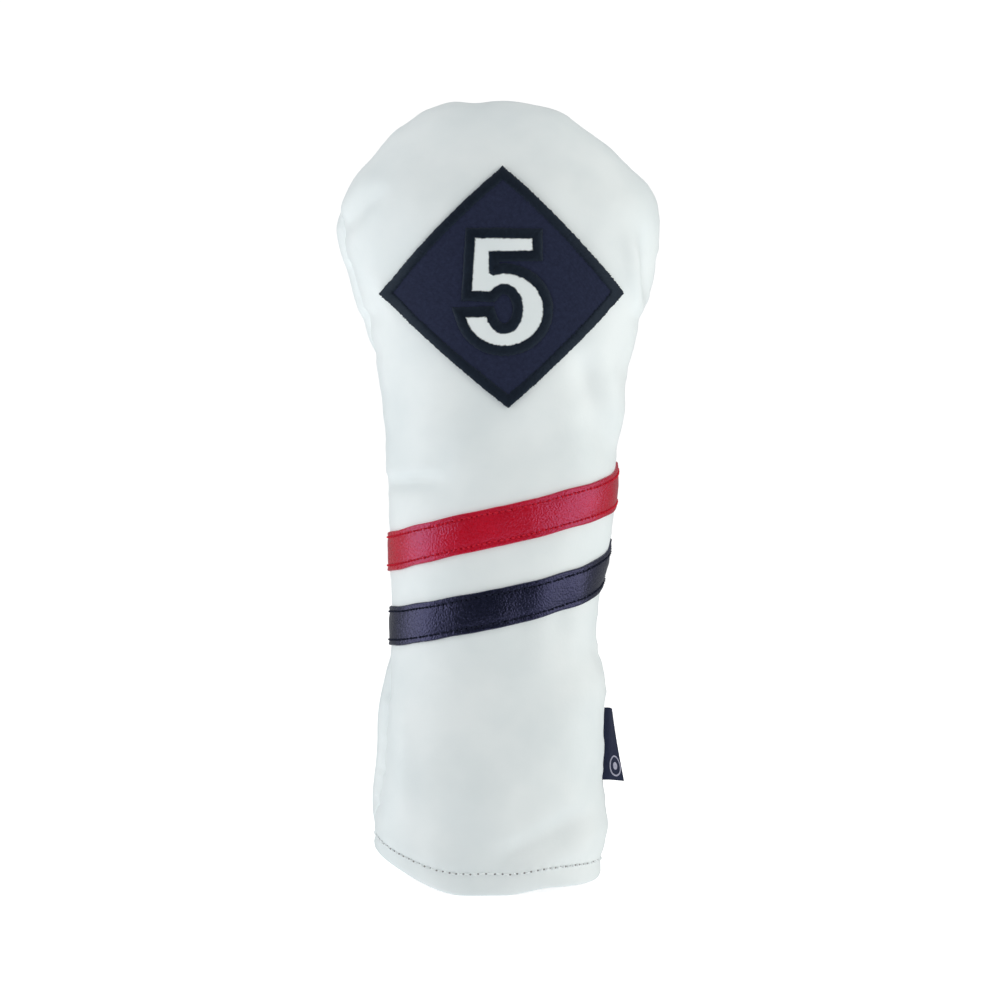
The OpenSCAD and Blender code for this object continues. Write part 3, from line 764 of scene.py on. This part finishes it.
def patch_grid(inset, steps):
    """Grid over the patch, from one pair of sides to the other."""
    a, b, c, d = patch_corner(inset)
    p, q = np.meshgrid(np.linspace(0, 1, steps), np.linspace(0, 1, steps), indexing="ij")
    p, q = p[..., None], q[..., None]
    flat = a * (1 - p) * (1 - q) + b * p * (1 - q) + c * p * q + d * (1 - p) * q
    bow_p, bow_q = PATCH_BOW * 4 * p * (1 - p), PATCH_BOW * 4 * q * (1 - q)
    flat = flat + unit(a + b) * bow_p * (1 - q) + unit(c + d) * bow_p * q
    flat = flat + unit(b + c) * bow_q * p + unit(a + d) * bow_q * (1 - p)
    return flat + [PATCH_X, PATCH_Z]


def on_front(flat, out):
    """Points on the front at flat x and z, out from the leather."""
    u, t = place(flat[..., 0], flat[..., 1])
    return lifted(u, t, out, stuffed)


cells_across = 60
flat = patch_grid(0.15, cells_across)
number_patch = build("number_patch", *shell(on_front(flat, PATCH_TOP), on_front(flat, PATCH_OUT)))
finish_piece(number_patch, navy_cloth, "navy_cloth", "diamond_patch")
flat = patch_grid(PATCH_SATIN_W / 2, 24)
patch_interfacing = build("patch_interfacing", *shell(on_front(flat, -LEATHER_T - 0.35),
                                                      on_front(flat, -LEATHER_T - 0.75)))
finish_piece(patch_interfacing, backing_cloth, "backing_cloth", "patch_backing")


# Section of a satin stitch: place from one edge of the band to the other, and height
SATIN_ACROSS = np.array([0, 0.0, 0.06, 0.16, 0.32, 0.5, 0.68, 0.84, 0.94, 1.0, 1.0])
SATIN_TALL = np.array([-0.3, 0.25, 0.66, 0.88, 0.98, 1.0, 0.98, 0.88, 0.66, 0.25, -0.3])


def closed_band(grid):
    """Points and faces of a band that runs round to its own start, with a flat underside."""
    count, cols = grid.shape[:2]
    after = [(i + 1) % count * cols for i in range(count)]
    faces = grid_faces(count, cols, 0, True)
    faces += [(i * cols, k, k + cols - 1, i * cols + cols - 1) for i, k in enumerate(after)]
    return grid.reshape(-1, 3), faces


def satin(name, inner, outer, width, base, slot, node):
    """Band of satin stitches between two outlines with matching points: a ridge for each thread."""
    both = np.concatenate([inner, outer], axis=1)
    both = np.concatenate([both, both[:1]])
    steps = np.linalg.norm(np.diff((both[:, :2] + both[:, 2:]) / 2, axis=0), axis=1)
    run = np.concatenate([[0], np.cumsum(steps)])
    count = 2 * round(run[-1] / THREAD_PITCH)
    at = np.arange(count) / count * run[-1]
    both = np.stack([np.interp(at, run, both[:, k]) for k in range(4)], axis=1)
    ridge = np.where(np.arange(count) % 2 == 0, 1.0, 0.72)
    threads = np.repeat(rng.normal(0, 1, (count // 2, 3)), 2, axis=0)
    start = both[:, :2] + (both[:, :2] - both[:, 2:]) / width * (0.12 + 0.12 * threads[:, :1])
    end = both[:, 2:] + (both[:, 2:] - both[:, :2]) / width * 0.09 * threads[:, 1:2]
    flat = start[:, None] + (end - start)[:, None] * SATIN_ACROSS[None, :, None]
    high = base + SATIN_H * SATIN_TALL[None] * (ridge * (1 + 0.05 * threads[:, 2]))[:, None]
    piece = build(name, *closed_band(on_front(flat, high)))
    return finish_piece(piece, navy_satin, slot, node)


satin("patch_satin", patch_outline(PATCH_SATIN_W, 40), patch_outline(0.0, 40), PATCH_SATIN_W,
      PATCH_TOP - 0.15, "navy_satin", "patch_border")

# Numeral, drawn about its own middle: flag, stem and open bowl
NUMERAL_X, NUMERAL_Z = 1.8, PATCH_Z - 1.8
BOWL_X = -0.3


def bowl(rx, rz, z, start, end, steps=34):
    a = np.radians(np.linspace(start, end, steps))
    return np.column_stack([BOWL_X + rx * np.cos(a), z + rz * np.sin(a)])


numeral = np.concatenate([
    [[-11.3, 0.7], [-10.2, 18.7], [9.3, 18.5], [9.3, 14.9], [-6.2, 14.7], [-6, 6.0]],
    bowl(13.4, 12.4, -6.3, 106, -166), bowl(7, 9.2, -6.0, -160, 136)]) + [NUMERAL_X, NUMERAL_Z]


def mitred(outline, width):
    """The outline moved out by width, with its corners kept sharp."""
    edge = unit(np.roll(outline, -1, axis=0) - outline)
    out = np.column_stack([edge[:, 1], -edge[:, 0]])
    if np.sum(outline[:, 0] * np.roll(outline[:, 1], -1)
              - outline[:, 1] * np.roll(outline[:, 0], -1)) < 0:
        out = -out
    before = np.roll(out, 1, axis=0)
    middle = unit(out + before)
    stretch = width / np.maximum(np.sum(middle * out, axis=1), 0.45)
    return outline + middle * stretch[:, None]


def sheet_in(outline, cell):
    """Triangles that fill an outline, cut into small cells so that they can bend."""
    bm = bmesh.new()
    bm.faces.new([bm.verts.new((x, z, 0)) for x, z in outline])
    lo, hi = outline.min(axis=0), outline.max(axis=0)
    for axis in (0, 1):
        for cut in np.arange(lo[axis] + cell, hi[axis], cell):
            at, way = [0, 0, 0], [0, 0, 0]
            at[axis], way[axis] = cut, 1
            bmesh.ops.bisect_plane(bm, geom=bm.verts[:] + bm.edges[:] + bm.faces[:],
                                   plane_co=at, plane_no=way)
    bmesh.ops.triangulate(bm, faces=bm.faces)
    bm.verts.index_update()
    flat = np.array([v.co[:2] for v in bm.verts])
    faces = [tuple(v.index for v in f.verts) for f in bm.faces]
    rim = [tuple(v.index for v in e.verts) for e in bm.edges if e.is_boundary]
    bm.free()
    return flat, faces, rim


NUMERAL_TUCK, NUMERAL_T, NUMERAL_CELL = 0.5, 0.42, 2.4
flat, faces, rim = sheet_in(mitred(numeral, NUMERAL_TUCK), NUMERAL_CELL)
n = len(flat)
points = np.concatenate([on_front(flat, PATCH_TOP + NUMERAL_T), on_front(flat, PATCH_TOP - 0.1)])
under = [tuple(i + n for i in f[::-1]) for f in faces]
walls = [(b, a, n + a, n + b) for a, b in rim]
numeral_leather = build("numeral_leather", points, faces + under + walls, flat=True)
finish_piece(numeral_leather, white_leather, "white_leather", "numeral_inlay")
satin("numeral_satin", numeral, mitred(numeral, SATIN_W), SATIN_W, PATCH_TOP - 0.05, "navy_satin",
      "numeral_border")

# ---- Side label ----

label_low, label_high = (np.array(c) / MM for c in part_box("label_flap"))
LABEL_H = label_high[2] - label_low[2]
hinge = np.array(next(j for j in frame["record"]["behaviour"]["joints"]
                      if j["name"] == "label_swing")["pos_m"]) / MM
LABEL_L, LABEL_T, REST = 9.0, 0.8, 60
LABEL_DROOP = 0.14


def label_point(along, k, off):
    """Point of the label: along it from the hinge, k of the way up, off to its outer side."""
    along, k, off = np.broadcast_arrays(along, k, off)
    # The cloth is twisted: it stands further forward at its lower end
    twist = 48 + 43 * k - 10 * k * k - REST
    turn = np.where(along > 0, np.radians(REST + twist * smooth(along, -1, 4)), 0)
    x = hinge[0] + along * np.cos(turn) + off * np.sin(turn)
    y = along * np.sin(turn) - off * np.cos(turn)
    z = label_low[2] + k * LABEL_H - LABEL_DROOP * np.maximum(along, 0)
    return np.stack([x, y, z], axis=-1)


along = np.concatenate([np.linspace(-5, -0.4, 6), np.linspace(0.05, LABEL_L, 34)])
k = np.linspace(0, 1, 44)
aa, kk = np.meshgrid(along, k, indexing="ij")
# It is thinner in the seam and at the outer fold, and has woven ribs
WOVEN_RIBS = 27
thick = (LABEL_T * (0.55 + 0.45 * smooth(aa, -0.2, 1.6))
         * (1 - 0.55 * smooth(aa, LABEL_L - 0.5, LABEL_L)))
thick = thick * (1 + 0.06 * np.cos(kk * 2 * math.pi * WOVEN_RIBS))
outer, inner = (label_point(aa, kk, way * thick / 2) for way in (1, -1))
side_label = build("side_label", *shell(outer, inner), body=None)
finish_piece(side_label, woven_label, "woven_label", "label_flap", "label_root")
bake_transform(side_label)

# Plain ring and dot woven on the side that shows
RING_R, RING_AT, RING_K = 3.6, 4.05, 0.2


def yarn_ring(radius, r, steps=56):
    """Low ridge of yarn round a circle on the label, as points and faces."""
    a = np.linspace(0, 2 * math.pi, steps, endpoint=False)
    rows = []
    for out, wide in ((0.0, 1), (0.15, 0.75), (0.186, 0), (0.15, -0.75), (0.0, -1)):
        rr = radius + wide * r
        rows.append(label_point(RING_AT + rr * np.cos(a), RING_K + rr * np.sin(a) / LABEL_H,
                                LABEL_T / 2 - 0.05 + out))
    return closed_band(np.stack(rows, axis=1))


ring_points, ring_faces = yarn_ring(RING_R, 0.34)
dot_points, dot_faces = yarn_ring(0.8, 0.72)
dot_faces = [tuple(i + len(ring_points) for i in f) for f in dot_faces]
label_mark = build("label_mark", np.concatenate([ring_points, dot_points]),
                   ring_faces + dot_faces, "label")
finish_piece(label_mark, grey_yarn, "grey_yarn", "label_emblem")

# ---- Camera, floor and light ----

CAMERA_AT, LENS = (0, -0.9, 0.1424), 86.8
camera = bpy.data.objects.new("camera", bpy.data.cameras.new("camera"))
bpy.context.scene.collection.objects.link(camera)
camera.location = CAMERA_AT
camera.rotation_euler = (math.pi / 2, 0, 0)
camera.data.lens = LENS
camera.data.sensor_width = 36
bpy.context.scene.camera = camera

# White paper, which glows so that it stays white; it doesn't light the cover from below
FLOOR_R, FLOOR_GLOW = 3000, 0.7
floor_turn = np.linspace(0, 2 * math.pi, 97)[:-1]
floor_disc = FLOOR_R * np.column_stack([np.cos(floor_turn), np.sin(floor_turn), 0 * floor_turn])
floor = build("studio_floor", floor_disc - [0, 0, 0.05], [tuple(range(len(floor_turn)))], body=None)
paper, _, _, _ = shade("studio paper", (0.9, 0.9, 0.9), 0.9, Emission_Color=(1, 1, 1, 1),
                       Emission_Strength=FLOOR_GLOW, Specular_IOR_Level=0.0)
floor.data.materials.append(paper)
floor.visible_diffuse = floor.visible_glossy = False


def area_light(name, at, aim, size, watts):
    lamp = bpy.data.objects.new(name, bpy.data.lights.new(name, "AREA"))
    bpy.context.scene.collection.objects.link(lamp)
    lamp.data.shape = "RECTANGLE"
    lamp.data.size, lamp.data.size_y = size
    lamp.data.energy = watts
    lamp.location = at
    x, y, z = np.array(aim) - np.array(at)
    lamp.rotation_euler = (math.atan2(math.hypot(x, y), -z), 0, math.atan2(y, x) - math.pi / 2)
    return lamp


AIM = (0, 0, 0.15)
area_light("left_softbox", (-1.2, -0.32, 0.18), AIM, (1.15, 1.3), 11.8)
right_softbox = area_light("right_softbox", (1.08, -0.56, 0.18), AIM, (1.4, 1.3), 13.5)
right_softbox.data.color = (1, 0.985, 0.94)
front_fill = area_light("front_fill", (0, -1.2, 0.2), AIM, (1.0, 1.0), 1.3)
front_fill.visible_glossy = False
top_light = bpy.data.objects.new("top_light", bpy.data.lights.new("top_light", "SUN"))
bpy.context.scene.collection.objects.link(top_light)
top_light.data.energy = 0.85
top_light.data.angle = math.radians(70)
top_light.rotation_euler = (math.radians(8), 0, 0)

# The room is dim behind the camera and brighter all round; what the camera sees of it is white
world = bpy.data.worlds.new("studio")
world.use_nodes = True
tree = world.node_tree
room = tree.nodes["Background"]
way = add(tree, "SeparateXYZ", {"Vector": add(tree, "TexCoord").outputs["Generated"]})
glow = add(tree, "MapRange", {"Value": way.outputs["Y"], "From Min": -1.0, "From Max": -0.2,
                              "To Min": 0.06, "To Max": 0.38})
from_below = add(tree, "MapRange", {"Value": way.outputs["Z"], "From Min": -0.3, "From Max": -0.9,
                                    "To Min": 0.0, "To Max": 1.25})
glow = add(tree, "Math", {0: glow.outputs["Result"], 1: from_below.outputs["Result"]})
tree.links.new(glow.outputs["Value"], room.inputs["Strength"])
seen = add(tree, "Background", {"Color": (1, 1, 1, 1), "Strength": 1.05})
mix = add(tree, "MixShader", {0: add(tree, "LightPath").outputs["Is Camera Ray"],
                              1: room.outputs["Background"], 2: seen.outputs["Background"]})
room.inputs["Color"].default_value = (0.95, 0.98, 1.0, 1)
tree.links.new(mix.outputs["Shader"], tree.nodes["World Output"].inputs["Surface"])
bpy.context.scene.world = world
bpy.context.scene.view_settings.view_transform = "Standard"
